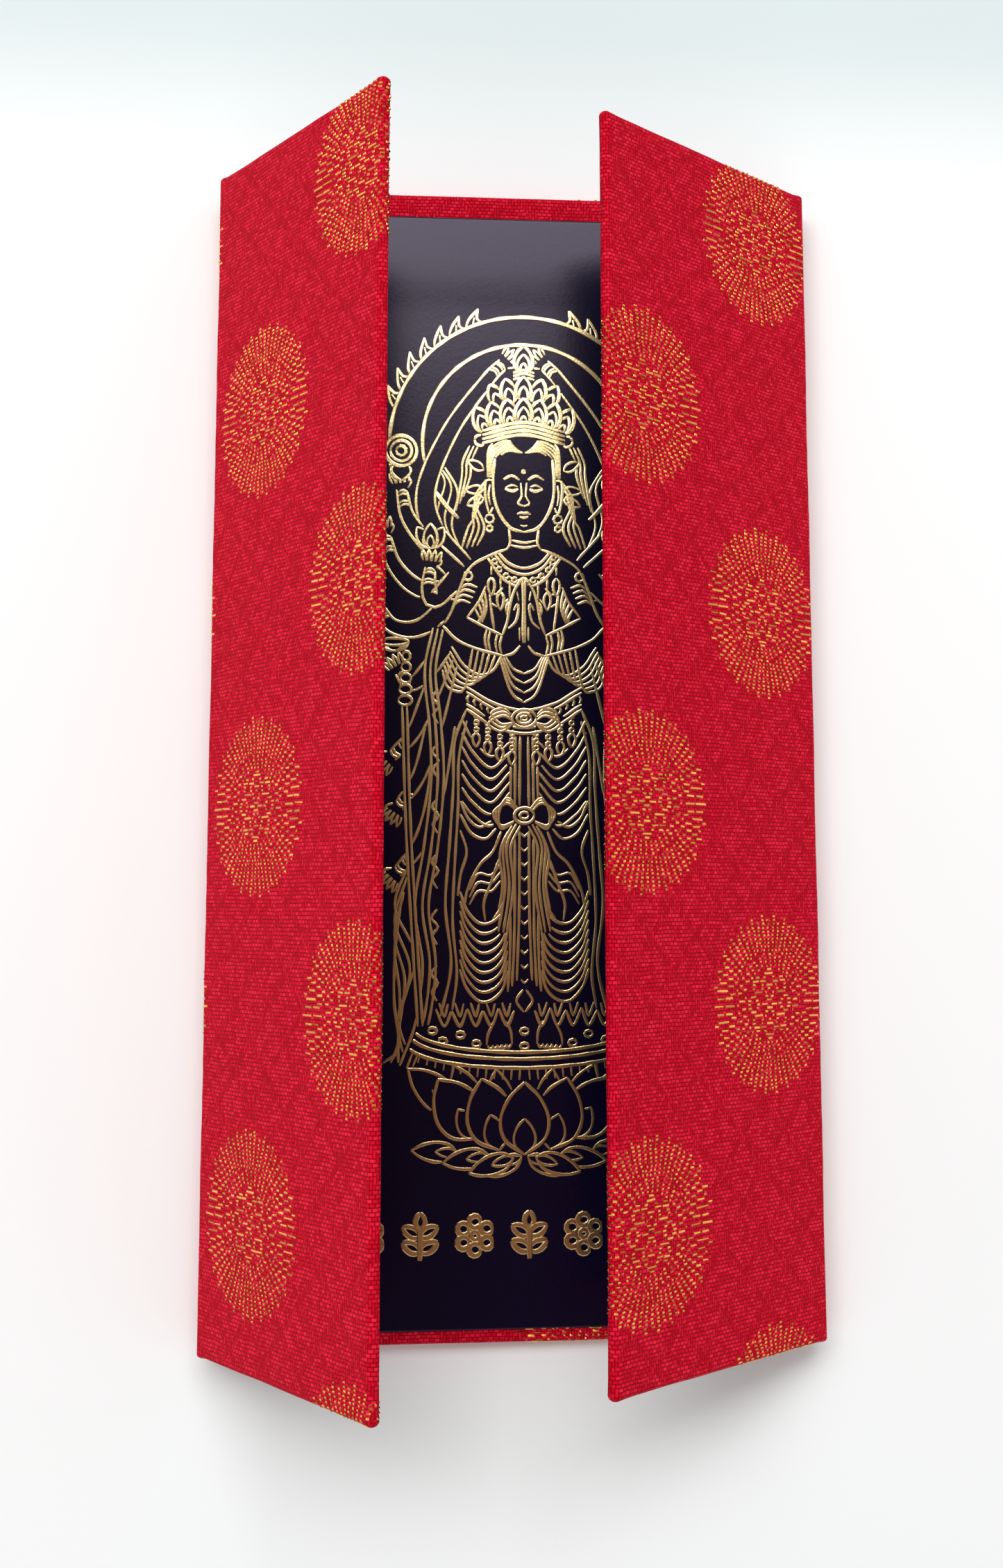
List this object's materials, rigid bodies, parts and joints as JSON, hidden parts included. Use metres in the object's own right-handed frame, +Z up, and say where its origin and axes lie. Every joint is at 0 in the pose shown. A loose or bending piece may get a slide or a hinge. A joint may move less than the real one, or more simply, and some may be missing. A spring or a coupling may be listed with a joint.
{
  "type": "gatefold picture folio",
  "caption": "Slim cloth-covered gatefold folio lying on its back, with two doors half open on creased spines over a black card with a foil line drawing.",
  "frame": {"origin": "middle of the underside of the back", "axes": "+X across the folio to the right door, +Y to the head of the picture, +Z up, out of the card"},
  "size_m": [0.0834, 0.16, 0.0397],
  "materials": {
    "brocade": "woven red brocade",
    "gold_weft": "flat gilt weft on red brocade",
    "board": "grey board",
    "card": "matte black card",
    "foil": "hot-stamped gold foil",
    "lining": "matte black paper"
  },
  "bodies": {
    "back": {"back_brocade": "brocade", "back_board": "board", "picture_card": "card"},
    "left_spine": {"left_spine_brocade": "brocade", "left_spine_strip": "board", "left_spine_lining": "lining"},
    "left_door": {"left_door_brocade": "brocade", "left_door_board": "board", "left_door_lining": "lining"},
    "right_spine": {"right_spine_brocade": "brocade", "right_spine_strip": "board", "right_spine_lining": "lining"},
    "right_door": {"right_door_brocade": "brocade", "right_door_board": "board", "right_door_lining": "lining"}
  },
  "joints": [
    {"name": "left_spine_crease", "type": "hinge", "parent": "back", "child": "left_spine", "pos_m": [-0.0417, 0, 0], "axis": [0, -1, 0], "range_deg": [0, 90]},
    {"name": "left_door_crease", "type": "hinge", "parent": "left_spine", "child": "left_door", "pos_m": [-0.0417, 0, 0.0056], "axis": [0, -1, 0], "range_deg": [-56, 34]},
    {"name": "right_spine_crease", "type": "hinge", "parent": "back", "child": "right_spine", "pos_m": [0.0417, 0, 0], "axis": [0, 1, 0], "range_deg": [0, 90]},
    {"name": "right_door_crease", "type": "hinge", "parent": "right_spine", "child": "right_door", "pos_m": [0.0417, 0, 0.0056], "axis": [0, 1, 0], "range_deg": [-40.3, 49.7]}
  ]
}
